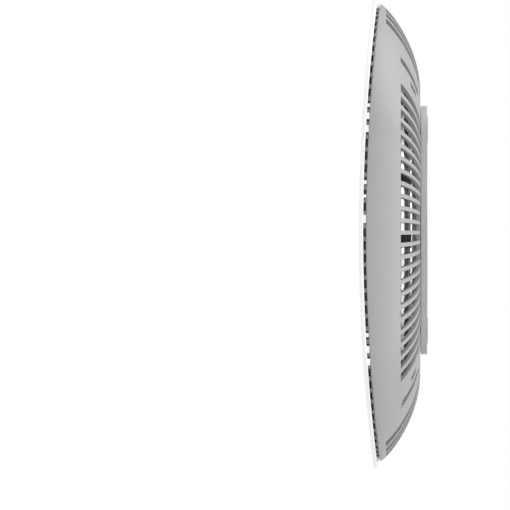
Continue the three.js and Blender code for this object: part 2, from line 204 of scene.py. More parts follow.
def rounded(obj, width, segments=2, angle=40):
    """Rounds the edges sharper than the angle, by a width in millimetres."""
    bevel = obj.modifiers.new("round", "BEVEL")
    bevel.width = width * MM
    bevel.segments = segments
    bevel.limit_method = "ANGLE"
    bevel.angle_limit = math.radians(angle)
    bevel.use_clamp_overlap = True
    bevel.harden_normals = True
    return obj


def join_parts(parts):
    """Several (points, faces) bodies as one pair; faces may be triangles and quads."""
    points, faces, start = [], [], 0
    for p, f in parts:
        points.append(np.asarray(p, float))
        faces += [[int(i) + start for i in face] for face in f]
        start += len(p)
    return np.concatenate(points), faces


# Outward faces of a box whose eight points run fastest along x, then y, then z.
BOX_FACES = ((0, 2, 3, 1), (4, 5, 7, 6), (0, 1, 5, 4), (2, 6, 7, 3), (0, 4, 6, 2), (1, 3, 7, 5))


def box_part(low, high):
    """A box between two corners, as points and outward faces."""
    (x0, y0, z0), (x1, y1, z1) = low, high
    points = [(x, y, z) for z in (z0, z1) for y in (y0, y1) for x in (x0, x1)]
    return np.array(points), BOX_FACES


def ring_part(rings, closed=False):
    """A skin through rings of equal length, from the underside out and over the top.

    Row k of the grid is ring k. A closed one joins the last ring to the first; otherwise the two
    end rings are filled with a fan round their middle.
    """
    rings = np.asarray(rings, float)
    rows, cols = rings.shape[:2]
    points = rings.reshape(-1, 3)
    # In this order a ring that grows outwards on the underside faces down.
    faces = grid_faces(rows, cols, closed).tolist()
    if not closed:
        last = (rows - 1) * cols
        middle = [rings[0].mean(0), rings[-1].mean(0)]
        points = np.concatenate([points, middle])
        n = rows * cols
        for i in range(cols):
            j = (i + 1) % cols
            faces.append([j, i, n])
            faces.append([last + i, last + j, n + 1])
    return points, faces


def lathe_part(profile, centre, segments=64):
    """A profile of (radius, height) turned about the bench's z at the centre.

    Point (k, j) is radius_k at angle 2 pi j / segments. Ends off the axis are capped.
    """
    a = np.arange(segments) * 2 * math.pi / segments
    r, z = np.asarray(profile, float).T
    rings = np.stack(
        [
            centre[0] + r[:, None] * np.cos(a),
            centre[1] + r[:, None] * np.sin(a),
            np.broadcast_to(z[:, None], (len(r), segments)),
        ],
        -1,
    )
    return ring_part(rings)


def cut_with(obj, cutters):
    """Takes bodies, given as points and faces on the bench, out of an object for good."""
    points, faces = join_parts(cutters)
    mesh = bpy.data.meshes.new("cutter")
    mesh.from_pydata(to_row(points).tolist(), [], faces)
    tool = bpy.data.objects.new("cutter", mesh)
    bpy.context.scene.collection.objects.link(tool)
    cut = obj.modifiers.new("cut", "BOOLEAN")
    cut.object = tool
    cut.operation = "DIFFERENCE"
    cut.solver = "EXACT"
    bpy.context.view_layer.update()
    result = bpy.data.meshes.new_from_object(
        obj.evaluated_get(bpy.context.evaluated_depsgraph_get())
    )
    obj.modifiers.remove(cut)
    old = obj.data
    obj.data = result
    result.name = old.name
    bpy.data.meshes.remove(old)
    bpy.data.objects.remove(tool)
    bpy.data.meshes.remove(mesh)


def refined(node, name, finish, body=HOUSING, width=0.25, segments=2):
    """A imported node's own shape with its doubles merged and its edges rounded."""
    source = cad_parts[node]
    bm = bmesh.new()
    bm.from_mesh(source.data)
    bmesh.ops.remove_doubles(bm, verts=bm.verts, dist=0.01 * MM)
    bmesh.ops.dissolve_limit(bm, angle_limit=math.radians(1), verts=bm.verts, edges=bm.edges)
    mesh = bpy.data.meshes.new(name)
    bm.to_mesh(mesh)
    bm.free()
    obj = bpy.data.objects.new(name, mesh)
    bpy.context.scene.collection.objects.link(obj)
    dress(obj, finish, body, (node,))
    return rounded(obj, width, segments)


# ---- Finishes ----


def linear(code):
    """An sRGB hex colour, such as "#d4d5d6", as the linear RGBA that shaders take."""
    parts = [int(code[i : i + 2], 16) / 255 for i in (1, 3, 5)]
    return [c / 12.92 if c <= 0.04045 else ((c + 0.055) / 1.055) ** 2.4 for c in parts] + [1.0]


def add(tree, kind, slots=None, **settings):
    """Adds one node. slots fills its inputs, by name or number, with values or other outputs."""
    node = tree.nodes.new(kind)
    for name, value in settings.items():
        setattr(node, name, value)
    for name, value in (slots or {}).items():
        if isinstance(value, bpy.types.NodeSocket):
            tree.links.new(value, node.inputs[name])
        else:
            node.inputs[name].default_value = value
    return node


def start_finish(name, colour, roughness, metallic=0.0, ior=1.5):
    """A new material with its tree, shader and coordinates in metres; a known one comes alone."""
    old = bpy.data.materials.get(name)
    if old:
        return old, None, None, None
    material = bpy.data.materials.new(name)
    material.use_nodes = True
    material.diffuse_color = colour
    tree = material.node_tree
    shader = tree.nodes["Principled BSDF"]
    shader.inputs["Base Color"].default_value = colour
    shader.inputs["Roughness"].default_value = roughness
    shader.inputs["Metallic"].default_value = metallic
    if not metallic:
        shader.inputs["IOR"].default_value = ior
    place = add(tree, "ShaderNodeTexCoord").outputs["Object"]
    return material, tree, shader, place


def noise(tree, place, size_mm, detail=2.0, stretch=(1, 1, 1)):
    """Noise whose lumps are about size_mm across, longer where stretch is under 1."""
    shift = add(tree, "ShaderNodeMapping", {"Vector": place, "Scale": stretch})
    slots = {"Vector": shift.outputs[0], "Scale": 1 / (size_mm * MM), "Detail": detail}
    return add(tree, "ShaderNodeTexNoise", slots).outputs["Fac"]


def spread_between(tree, factor, low, high):
    """Carries a noise, mostly 0.3 to 0.7, to a value between low and high."""
    slots = {"Value": factor, "From Min": 0.3, "From Max": 0.7, "To Min": low, "To Max": high}
    return add(tree, "ShaderNodeMapRange", slots).outputs[0]


def tint(tree, factor, colour, share):
    """The colour, made a little darker and lighter where the factor is low and high."""
    dark = [c * (1 - share) for c in colour[:3]] + [1]
    light = [min(1, c * (1 + share)) for c in colour[:3]] + [1]
    slots = {"Factor": factor, 6: dark, 7: light}
    return add(tree, "ShaderNodeMix", slots, data_type="RGBA").outputs[2]


def bump(tree, height, depth_mm, normal=None):
    """Raises the surface by up to depth_mm where the height is 1."""
    slots = {"Height": height, "Distance": depth_mm * MM}
    if normal is not None:
        slots["Normal"] = normal
    return add(tree, "ShaderNodeBump", slots).outputs[0]


def moulded(name, colour, roughness, grain_mm=0.5, depth_mm=0.02, ior=1.53, cloud=0.015):
    """Injection-moulded plastic: the tool's spark-eroded grain, and faint cloudy flow marks."""
    material, tree, shader, place = start_finish(name, colour, roughness, ior=ior)
    if tree is None:
        return material
    grain = noise(tree, place, grain_mm, 3)
    flow = noise(tree, place, 45, 2, (1, 1, 0.5))
    tree.links.new(bump(tree, grain, depth_mm), shader.inputs["Normal"])
    tree.links.new(tint(tree, flow, colour, cloud), shader.inputs["Base Color"])
    rough = spread_between(tree, grain, roughness - 0.05, roughness + 0.07)
    tree.links.new(rough, shader.inputs["Roughness"])
    return material


def sheet_metal(name, colour, roughness, line_mm=0.35, stretch=(1, 1, 0.04), spangle=0.0):
    """Rolled sheet: fine lines along the rolling direction, and a zinc or tin spangle if asked."""
    material, tree, shader, place = start_finish(name, colour, roughness, metallic=1.0)
    if tree is None:
        return material
    lines = noise(tree, place, line_mm, 3, stretch)
    stains = noise(tree, place, 12, 2)
    if spangle:
        slots = {"Vector": place, "Scale": 1 / (3.5 * MM)}
        cells = add(tree, "ShaderNodeTexVoronoi", slots).outputs["Color"]
        grey = add(tree, "ShaderNodeRGBToBW", {"Color": cells}).outputs[0]
        tree.links.new(tint(tree, grey, colour, spangle), shader.inputs["Base Color"])
    else:
        tree.links.new(tint(tree, stains, colour, 0.05), shader.inputs["Base Color"])
    tree.links.new(bump(tree, lines, 0.01), shader.inputs["Normal"])
    rough = spread_between(tree, stains, roughness - 0.06, roughness + 0.08)
    tree.links.new(rough, shader.inputs["Roughness"])
    return material


def chosen(name):
    """A colour that the panel offers, as linear RGBA."""
    return [*getattr(bpy.context.scene.wifi_node_colours, name), 1.0]


LENGTHS = ("wall", "vent_bar", "slot_pitch", "slot_inner", "side_top", "end_top")


def size(name):
    """A size that the panel offers: lengths in millimetres, and anything else as it is."""
    value = getattr(bpy.context.scene.wifi_node_sizes, name)
    return value / MM if name in LENGTHS else value


def cover_finish():
    """Satin white ABS and polycarbonate blend, moulded in a finely etched tool: soft wide gloss."""
    return moulded("moulded_white_abs", chosen("cover"), 0.38, 0.3, 0.008, 1.55, 0.006)


def shell_finish():
    """Light grey ABS, spark-eroded grain about half a millimetre wide: an even, dry sheen."""
    return moulded("grained_grey_abs", chosen("shell"), 0.5, 0.5, 0.02)


def gap_bar_shaded_finish():
    """The same blend as the shell in a darker grey, for the bars across the gap: the darker grey is
    painted shade, added to the shadow the bars get in the gap.
    """
    return moulded("moulded_mid_grey_abs", chosen("bridge"), 0.55, 0.4, 0.015)


def foot_finish():
    """Grey ABS with a coarser grain that hides rubbing against a wall."""
    return moulded("coarse_grey_abs", chosen("foot"), 0.6, 0.8, 0.04)


def dark_finish():
    """Black glass-filled nylon: nearly matt, with short pale fibre streaks in the grain."""
    return moulded("black_filled_nylon", chosen("dark"), 0.55, 0.6, 0.03, 1.53, 0.12)


def rubber_finish():
    """Moulded silicone rubber: matt, slightly dusty."""
    return moulded("dark_silicone_rubber", linear("#333435"), 0.85, 0.4, 0.03, 1.41, 0.1)


def pad_finish():
    """Soft gap filler, blue grey and slightly tacky."""
    return moulded("gap_filler_silicone", linear("#7d8a94"), 0.7, 1.2, 0.05, 1.41, 0.05)


def gasket_finish():
    """Closed-cell foam: mid grey, matt, with bubbles about half a millimetre wide."""
    return moulded("grey_cell_foam", linear("#a4a7a9"), 0.8, 0.5, 0.1, 1.45, 0.1)


def key_finish():
    """Smooth polished ABS of the push buttons and the rocker."""
    return moulded("polished_grey_abs", linear("#9a9c9e"), 0.28, 0.3, 0.006)


def zinc_finish():
    """Zinc-plated steel: a cool grey with a crystalline spangle a few millimetres wide."""
    return sheet_metal("zinc_plated_steel", linear("#b4b8bb"), 0.38, 0.4, (1, 1, 1), 0.14)


def shield_highlight_finish():
    """Zinc-plated sheet of the board's shield, finely rolled; paler than the screws' zinc as
    painted highlight, which brightens its edge behind the grille.
    """
    return sheet_metal("bright_zinc_sheet", linear("#dfe2e4"), 0.32, 0.4, (1, 1, 0.05), 0.05)


def aluminium_finish():
    """Rolled aluminium sheet: bright, with lines along the rolling direction."""
    return sheet_metal("rolled_aluminium", linear("#e6e8ea"), 0.34)


def tin_finish():
    """Tin-plated steel of the shields and sockets: warmer and softer than aluminium."""
    return sheet_metal("tin_plated_steel", linear("#d6d5d0"), 0.3, 0.5, (1, 0.05, 1))


def gold_finish():
    """Gold-flashed phosphor bronze of the contacts."""
    return sheet_metal("gold_flashed_bronze", linear("#e0b455"), 0.22, 0.2, (0.1, 1, 1))


def board_finish():
    """Black solder mask over etched copper: the tracks stand up a little and show paler."""
    colour = linear("#15181a")
    material, tree, shader, place = start_finish("black_solder_mask", colour, 0.35, ior=1.55)
    if tree is None:
        return material
    slots = {"Vector": place, "Scale": 1 / (2.4 * MM)}
    cells = add(tree, "ShaderNodeTexVoronoi", slots, distance="MANHATTAN").outputs["Distance"]
    tracks = add(tree, "ShaderNodeMath", {0: cells, 1: 0.35}, operation="GREATER_THAN").outputs[0]
    weave = noise(tree, place, 0.6, 2)
    first = bump(tree, tracks, 0.03)
    tree.links.new(bump(tree, weave, 0.01, first), shader.inputs["Normal"])
    tree.links.new(tint(tree, tracks, colour, 0.35), shader.inputs["Base Color"])
    rough = spread_between(tree, weave, 0.3, 0.45)
    tree.links.new(rough, shader.inputs["Roughness"])
    return material


def guide_finish():
    """Clear moulded acrylic of the light pipe, smooth with a faint haze."""
    colour = linear("#eef2f4")
    material, tree, shader, place = start_finish("clear_acrylic_guide", colour, 0.08, ior=1.49)
    if tree is None:
        return material
    shader.inputs["Transmission Weight"].default_value = 0.85
    haze = noise(tree, place, 1.5, 2)
    tree.links.new(spread_between(tree, haze, 0.05, 0.14), shader.inputs["Roughness"])
    return material


def label_finish():
    """Matt polyester film of the blank label."""
    return moulded("matt_label_film", linear("#c9cbcc"), 0.5, 0.3, 0.004)


# ---- Housing ----

# Place and width of each snap tab along a side.
TABS = (
    (54.1, 1.4), (49.6, 2.8), (44.1, 3.0), (21.4, 1.7), (15.5, 1.3), (5.8, 3.5),
    (-43.5, 1.8), (-49.6, 3.0), (-54.9, 2.8),
)
TAB_DEPTHS = (95.6, 97.7)  # how far out from the middle a tab starts and ends
END_TAB_AT = 97.0  # how far out the tabs of the two ends take the cover's height
COVER_EDGE = 0.6  # radius of the cover's rounded edge


def shown(plan, half, heights, offset=0.0, normals=None):
    """One ring: plan points at a half size, moved out along their normals, at given heights."""
    p = plan * half
    if normals is not None:
        p = p + normals * offset
    z = heights(p[:, 1]) if callable(heights) else np.full(len(p), float(heights))
    return np.concatenate([p, z[:, None]], axis=1)


def square_ring(inner, outer, low, high, count=120):
    """A closed ring with the plan's outline, between two half sizes and two heights.

    A height is a number or a function of y.
    """
    plan, _ = plan_evenly(count)
    corners = [(inner, low), (outer, low), (outer, high), (inner, high)]
    return ring_part([shown(plan, half, z) for half, z in corners], closed=True)


def cover_rings(edge):
    """The cover's skin: underside, a rounded edge and the arched front.

    Inside the edge each ring is the plan at a share of the half size. Round the edge the ring
    moves along the plan's normal by edge (cos a - 1) and in height by edge (1 + sin a), for a from
    -90 to 0 degrees at the bottom and 0 to 90 at the top.
    """
    plan, normal = plan_evenly(320)
    shares = (0.04, 0.16, 0.3, 0.44, 0.58, 0.72, 0.86, 0.95)

    def edge_ring(surface, shift, a):
        """The ring at angle a of the rounded edge, shifted in height from a surface."""
        inward = edge * (math.cos(a) - 1)
        return shown(plan, COVER_HALF, lambda y: surface(y) + shift, inward, normal)

    rings = [shown(plan, COVER_HALF * k, under_z) for k in shares]
    for a in np.radians(np.linspace(-90, 0, 5)):
        rings.append(edge_ring(under_z, edge * (1 + math.sin(a)), a))
    for a in np.radians(np.linspace(0, 90, 5)):
        rings.append(edge_ring(front_z, -edge * (1 - math.sin(a)), a))
    rings += [shown(plan, COVER_HALF * k, front_z) for k in reversed(shares)]
    return rings


def tab_parts():
    """Snap tabs: blocks that hang from the cover across the gap, the same on all four sides.

    Each is placed on the +x side and turned by quarters; c and s are the turn's cosine and sine.
    It starts 0.3 mm inside the cover and ends 0.2 mm short of the shell's rim.
    """
    parts = []
    inner, outer = TAB_DEPTHS
    for c, s in ((1, 0), (0, 1), (-1, 0), (0, -1)):
        for middle, width in TABS:
            y_here = middle * c if s == 0 else END_TAB_AT
            top = float(under_z(y_here)) + 0.3
            low = (inner, middle - width / 2, top - GAP - 0.1)
            points, faces = box_part(low, (outer, middle + width / 2, top))
            turned = points.copy()
            turned[:, 0] = points[:, 0] * c - points[:, 1] * s
            turned[:, 1] = points[:, 0] * s + points[:, 1] * c
            parts.append((turned, faces))
    return parts


def build_cover():
    """The arched front cover with its snap tabs."""
    points, faces = join_parts([ring_part(cover_rings(COVER_EDGE))] + tab_parts())
    finish = cover_finish()
    piece("front_cover_moulding", points, faces, finish, "cover_white", replaces=("front_cover",))


BAR_DEPTHS = (-2.0, -1.1)  # a gap bar's inner and outer face, measured out from the shell's rim
BAND_HALVES = (91, 95.3)  # half sizes of the dark ring's inner and outer face
BAND_CLEAR = 0.12  # room between the dark ring and the rim or the cover


def bridge_part(count, width):
    """Bars across the gap, evenly spaced, as one set of boxes.

    Bar k stands at plan point k; its corners are that point moved by half its width along the
    tangent, between two depths along the normal, from the rim to the cover's underside.
    """
    plan, normal = plan_evenly(count, start=OUTLINE / count / 2)
    tangent = np.stack([-normal[:, 1], normal[:, 0]], -1)
    corners = []
    for up in (0, 1):
        for depth in BAR_DEPTHS:
            for side in (-1, 1):
                p = plan * RIM_HALF + normal * depth + tangent * side * width / 2
                z = rim_z(p[:, 1]) + (GAP + 0.1 if up else -0.1)
                corners.append(np.concatenate([p, z[:, None]], 1))
    points = np.stack(corners, 1).reshape(-1, 3)
    # The corners run fastest along the tangent, not outwards, so the faces are turned over.
    first = 8 * np.arange(count)[:, None, None]
    faces = (np.array(BOX_FACES)[None] + first).reshape(-1, 4)[:, ::-1]
    return points, faces


def build_gap():
    """The black ring in the gap, whose black is painted shade over the gap's own shadow, and the
    grey bars in front of it.
    """
    heights = (lambda y: rim_z(y) + BAND_CLEAR, lambda y: rim_z(y) + GAP - BAND_CLEAR)
    points, faces = square_ring(*BAND_HALVES, *heights, count=240)
    # The ring's black is painted shade: it darkens the gap beyond its own shadow.
    piece("vent_band", points, faces, dark_finish(), "dark_plastic", replaces=("vent_ring",))
    points, faces = bridge_part(size("vent_count"), size("vent_bar"))
    # The bars' darker grey is painted shade in the gap.
    bars = piece("vent_bars", points, faces, gap_bar_shaded_finish(), "shell_grey")
    rounded(bars, 0.12, 1)


SOLID, SLOT, LONG, SHORT = range(4)  # what lies between two columns of the shell's grid
SLOT_REACH = 85.2  # half size of the plan at which the slots are evenly spaced
CORNER_TURN = 0.9  # degrees from the diagonal to either edge of the long corner slot
FLANK = (38.8, 40, 41.2, 41.9, 42.6, 43.6)  # degrees to the columns between a side and a corner
LONG_HEIGHTS = (4, 11.4)  # between which the long corner slots are open
SHORT_HEIGHTS = (5.2, 7.2)  # between which the short slots beside them are open
FLOOR_RINGS = (6, 20, 34, 48, 57)  # half sizes of the grid's rows on the floor
SLOT_ROWS = 18  # steps of the grid along the slots
BAND_ROWS = 10  # steps of the grid from the slots' top ends to the rim
FIRST_SLOT_ROW = len(FLOOR_RINGS) + 1  # the slots' inner ends: after the floor and its edge
TURN_START, TURN_WIDTH = 39.5, 11  # degrees over which a side's slot tops pass to an end's


def shell_columns():
    """Directions of the shell's columns, in radians, and what each gap between two of them is.

    A side has slots whose middles stand at even steps along it, at half size SLOT_REACH. On the
    plan of half size 1 edge e is at y = e pitch / SLOT_REACH, and at x = 1, or past 1 - CORNER on
    the corner's circle; its direction is atan(y / x). Each slot adds its two edges and its middle,
    and the rib after it a middle. A corner adds a long slot on the diagonal, and on the sides that
    face along x a short one beside it.
    """
    count, share = size("slot_count"), size("slot_open")

    def turn_of(step):
        y = step * size("slot_pitch") / SLOT_REACH
        past = max(0, abs(y) - 1 + CORNER)
        return math.degrees(math.atan2(y, 1 - CORNER + math.sqrt(CORNER**2 - past**2)))

    angles, kinds = [], []
    for side in range(4):
        short = SHORT if side % 2 == 0 else SOLID
        columns = [(-45 - CORNER_TURN, LONG), (-45, LONG), (-45 + CORNER_TURN, SOLID)]
        before = (SOLID, short, short, SOLID, SOLID, SOLID)
        columns += zip([-a for a in reversed(FLANK)], before)
        for i in range(count):
            step = i - (count - 1) / 2
            columns += [(turn_of(step - share / 2), SLOT), (turn_of(step), SLOT)]
            columns.append((turn_of(step + share / 2), SOLID))
            if i < count - 1:
                columns.append((turn_of(step + 0.5), SOLID))
        columns += zip(FLANK, (SOLID, SOLID, short, short, SOLID, SOLID))
        angles += [side * 90 + a for a, _ in columns]
        kinds += [kind for _, kind in columns]
    return np.radians(angles), np.array(kinds)


def shell_height(share, y):
    """Height on the shell's curve at a share of its turn: 1 - cos(a)^BEND of the way to the rim."""
    a = share * math.pi / 2
    return FLOOR_Z + (rim_z(y) - FLOOR_Z) * (1 - np.cos(a) ** BEND)


def shell_grid():
    """The shell's outer points, row by row from the floor's middle to the rim.

    A column is one direction from the centre. On it the half size grows from the floor's edge to
    the rim as sin(a), and the height as 1 - cos(a)^BEND, for a from 0 to 90 degrees. The rows are
    spaced so that one of them lies exactly along the top ends of the slots.
    """
    angles, kinds = shell_columns()
    plan = plan_at(angles)
    # How far the direction has turned from a side along x to an end along y, eased in and out.
    local = np.abs(((np.degrees(angles) + 90) % 180) - 90)
    blend = np.clip((local - TURN_START) / TURN_WIDTH, 0, 1)
    blend = blend * blend * (3 - 2 * blend)
    top = size("side_top") + (size("end_top") - size("side_top")) * blend
    # The share of the turn at which each column reaches the slots' top is read off a fine table.
    table = np.linspace(0, 1, 2400)
    reach = RIM_HALF - FLOOR_HALF
    half = FLOOR_HALF + reach * np.sin(table * math.pi / 2)
    height = shell_height(table[:, None], half[:, None] * plan[None, :, 1])
    share_top = table[(height >= top[None]).argmax(axis=0)]
    share_low = math.asin((size("slot_inner") - FLOOR_HALF) / reach) / (math.pi / 2)
    rows = [shown(plan, ring, FLOOR_Z) for ring in FLOOR_RINGS]
    shares = [np.zeros(len(plan)), np.full(len(plan), share_low)]
    shares += [share_low + (share_top - share_low) * k / SLOT_ROWS for k in range(1, SLOT_ROWS + 1)]
    shares += [share_top + (1 - share_top) * k / BAND_ROWS for k in range(1, BAND_ROWS + 1)]
    for share in shares:
        p = plan * (FLOOR_HALF + reach * np.sin(share * math.pi / 2))[:, None]
        rows.append(np.concatenate([p, shell_height(share, p[:, 1])[:, None]], 1))
    return np.array(rows), kinds


def shell_open(outer, kinds):
    """Which cells of the shell's grid are open: the slots of the sides and the corners."""
    height = (outer[:-1, :, 2] + outer[1:, :, 2]) / 2

    def opens(kind, low, high):
        """Cells of one kind whose middle lies between two heights."""
        return (kinds == kind) & (height > low) & (height < high)

    row = np.arange(len(height))[:, None]
    in_band = (row >= FIRST_SLOT_ROW) & (row < FIRST_SLOT_ROW + SLOT_ROWS)
    cut = (kinds == SLOT) | opens(LONG, *LONG_HEIGHTS) | opens(SHORT, *SHORT_HEIGHTS)
    return in_band & cut


def shell_skin(wall):
    """The shell as a closed body: outer skin, inner skin, and walls round every slot and the rim.

    The inner skin is the outer one moved in along its normal, which is the cross product of the
    grid's two directions. A wall joins the two skins wherever an open cell meets a solid one.
    """
    outer, kinds = shell_grid()
    rows, cols = outer.shape[:2]
    around = np.roll(outer, -1, axis=1) - np.roll(outer, 1, axis=1)
    outward = np.gradient(outer, axis=0)
    normal = np.cross(around, outward)
    normal /= np.linalg.norm(normal, axis=2, keepdims=True)
    inner = outer - normal * wall
    inner[-1, :, 2] = outer[-1, :, 2]
    closed = ~shell_open(outer, kinds)
    index = np.arange(rows * cols).reshape(rows, cols)
    right = np.roll(index, -1, axis=1)
    n = rows * cols
    a, b, c, d = index[:-1], right[:-1], right[1:], index[1:]
    faces = [np.stack([a, b, c, d], -1)[closed], np.stack([d, c, b, a], -1)[closed] + n]

    def wall_faces(mask, p, q):
        """Walls that leave the outer skin's edge p to q and close on the inner skin."""
        return np.stack([q, p, p + n, q + n], -1)[mask]

    to_right = closed & ~np.roll(closed, -1, axis=1)
    to_left = closed & ~np.roll(closed, 1, axis=1)
    below = np.vstack([np.ones((1, cols), bool), closed[:-1]])
    above = np.vstack([closed[1:], np.zeros((1, cols), bool)])
    faces.append(wall_faces(to_right, b, c))
    faces.append(wall_faces(to_left, d, a))
    faces.append(wall_faces(closed & ~above, c, d))
    faces.append(wall_faces(closed & ~below, a, b))
    quads = np.concatenate(faces).tolist()
    points = np.concatenate([outer.reshape(-1, 3), inner.reshape(-1, 3)])
    middle = [(0, 0, FLOOR_Z), (0, 0, FLOOR_Z + wall)]
    points = np.concatenate([points, middle])
    for i in range(cols):
        j = (i + 1) % cols
        quads.append([j, i, 2 * n])
        quads.append([i + n, j + n, 2 * n + 1])
    return points, quads


# The low wall on the shell's floor, sunk a little into it.
UPSTAND = {"inner": 57.6, "outer": 59.2, "low": 4.6, "high": 6.5}

# The opening for the ports: half its width, its lowest and highest place, and its floor's x.
BAY = {"half": 40.0, "low": 12.2, "high": 24.2, "floor": -79.2}
BEYOND_RIM = -110  # an x well outside the shell


def build_shell():
    """The rear shell with its grille, and the opening for the ports."""
    finish = shell_finish()
    points, faces = square_ring(**UPSTAND)
    piece("shell_upstand", points, faces, finish, "shell_grey")
    skin = shell_skin(size("wall"))
    shell = piece("rear_shell_moulding", *skin, finish, "shell_grey", replaces=("rear_shell",))
    drop_loose(shell)
    low = (BEYOND_RIM, -BAY["half"], BAY["low"])
    cut_with(shell, [box_part(low, (BAY["floor"] + 0.5, BAY["half"], BAY["high"]))])
    shade(shell, 38)
    rounded(shell, 0.28, 2, 50)


def drop_loose(obj):
    """Merges doubles and deletes points that no face uses."""
    bm = bmesh.new()
    bm.from_mesh(obj.data)
    bmesh.ops.remove_doubles(bm, verts=bm.verts, dist=0.0005 * MM)
    bmesh.ops.delete(bm, geom=[v for v in bm.verts if not v.link_faces], context="VERTS")
    bm.to_mesh(obj.data)
    bm.free()


# ---- Foot and wall bracket ----


def refine_all(*rows):
    """Refines the node of each (node, finish, slot, width of the rounded edges)."""
    for node, finish, slot, width in rows:
        refined(node, node + "_fine", finish, width=width)


DISH = 0.1  # how far a pad's face sinks in its middle
PAD_EDGE = 0.5  # radius of a pad's rounded edge


def build_foot():
    """The square foot with its bayonet lips, and the four rubber pads."""
    refined("foot_frame", "foot_moulding", foot_finish(), width=0.5, segments=3)
    for i in range(1, 5):
        node = f"foot_pad_{i}"
        low, high = bench_box(node)
        r, top = (high[0] - low[0]) / 2, high[2]
        # A dished face: its profile is an arc that sinks DISH in the middle.
        profile = [(r * k, low[2] + DISH * (1 - k * k)) for k in np.linspace(0.02, 0.86, 12)]
        for a in np.radians([30, 60, 90]):
            out, up = PAD_EDGE * math.sin(a), PAD_EDGE * math.cos(a)
            profile.append((r - PAD_EDGE + out, low[2] + PAD_EDGE - up))
        profile += [(r, top), (0.02, top)]
        centre = ((low[0] + high[0]) / 2, (low[1] + high[1]) / 2)
        points, faces = lathe_part(profile, centre)
        piece(node + "_dished", points, faces, rubber_finish(), "foot_rubber", replaces=(node,))


def build_bracket():
    """The twist-lock wall bracket, which stays on the wall."""
    refined("wall_bracket", "bracket_plate", zinc_finish(), body="bracket", width=0.3)


# ---- Parts inside, and the ports ----


def build_inside():
    """Shield, board, spreader, cans, chassis and aerials, with edges rounded."""
    refine_all(
        # The shield's paler zinc is painted highlight on its edge behind the grille.
        ("rear_shield", shield_highlight_finish(), "tinned_sheet", 0.15),
        ("main_pcb", board_finish(), "circuit_board", 0.1),
        ("heat_spreader", aluminium_finish(), "aluminium_sheet", 0.3),
        ("soc_can", tin_finish(), "tinned_sheet", 0.25),
        ("radio_can_low", tin_finish(), "tinned_sheet", 0.25),
        ("radio_can_high", tin_finish(), "tinned_sheet", 0.25),
        ("thermal_pad", pad_finish(), "thermal_silicone", 0.2),
        ("chassis", dark_finish(), "dark_plastic", 0.3),
        ("edge_damper_1", rubber_finish(), "foot_rubber", 0.2),
        ("edge_damper_2", rubber_finish(), "foot_rubber", 0.2),
        ("light_pipe", guide_finish(), "clear_acrylic", 0.2),
        ("label_plate", label_finish(), "label_film", 0.05),
    )
    for i in range(1, 7):
        refined(f"antenna_{i}", f"aerial_{i}_fine", tin_finish(), width=0.15)
    for i in range(1, 5):
        refined(f"shell_screw_{i}", f"screw_{i}_fine", zinc_finish(), width=0.12)


PASSIVES = {"count": 26, "start": -62, "step": 4.9, "thick": 0.35}  # one row of small parts
SUNK = 0.05  # how far what sits on the board reaches into it


def small_parts():
    """Chips and passives in rows on the board's margin, where it shows behind the grille.

    Part k of a side stands at an even step along it; its length, width and distance from the
    board's edge follow from sines of k, so that no two neighbours match.
    """
    parts = []
    low, high = bench_box("main_pcb")
    for side in (-1, 1):
        for k in range(PASSIVES["count"]):
            x = PASSIVES["start"] + k * PASSIVES["step"]
            y = side * (high[1] - 3.2 - 1.3 * math.sin(k * 1.9) ** 2)
            w = 1.0 + 0.8 * abs(math.sin(k * 2.3))
            d = 0.7 + 0.5 * abs(math.sin(k * 1.1 + 1))
            bottom = low[2] - PASSIVES["thick"]
            parts.append(box_part((x - w, y - d, bottom), (x + w, y + d, low[2] + SUNK)))
    return parts


SLEEVES = ((-2.65, 7.0), (23.85, 8.3))  # place along the near side, and lowest height
SLEEVE_HALF = 2.0  # half a sleeve's width along the side


def sleeve_parts():
    """Dark sleeves on the chassis posts of the near side, each behind one slot.

    The upper half stands in front of the spreader, and the lower one steps in behind the shell.
    """
    parts = []
    for y, bottom in SLEEVES:
        y0, y1 = y - SLEEVE_HALF, y + SLEEVE_HALF
        parts.append(box_part((76.3, y0, 9.0), (79.5, y1, 11.9)))
        parts.append(box_part((73.8, y0, bottom), (75.6, y1, 9.2)))
    return parts


GASKET_HALVES = (70.3, 72.9)  # half sizes of the inner and outer side of the foam strip
GASKET_THICK = 0.75  # from the foam's underside up to the board


def build_small_parts():
    """The small parts on the board's margin, the post sleeves and the board's foam strip."""
    points, faces = join_parts(small_parts())
    rounded(piece("margin_passives", points, faces, tin_finish(), "tinned_sheet"), 0.08, 1)
    points, faces = join_parts(sleeve_parts())
    rounded(piece("post_sleeves", points, faces, rubber_finish(), "foot_rubber"), 0.4)
    board = bench_box("main_pcb")[0][2]
    points, faces = square_ring(*GASKET_HALVES, board - GASKET_THICK, board - SUNK)
    piece("board_gasket", points, faces, gasket_finish(), "thermal_silicone")


SOCKET_PLACES = (-4.0, 13.0)  # of the two network sockets along the port side
CONTACT_TOP = 21.2  # height of the contacts at the socket's mouth
CONTACT_DROP = 1.9  # how much lower their far ends are
CONTACT_STEP = 1.02  # between two contacts of a socket


def contacts(y):
    """Eight spring contacts of one socket: thin strips that slope down into the opening."""
    parts = []
    x0, x1 = BAY["floor"] + 1.2, BAY["floor"] + 9.0
    for k in range(8):
        middle = y + (k - 3.5) * CONTACT_STEP
        points, faces = box_part((x0, middle - 0.22, 0), (x1, middle + 0.22, 0.2))
        points[:, 2] += CONTACT_TOP - CONTACT_DROP * (points[:, 0] - x0) / (x1 - x0)
        parts.append((points, faces))
    return parts


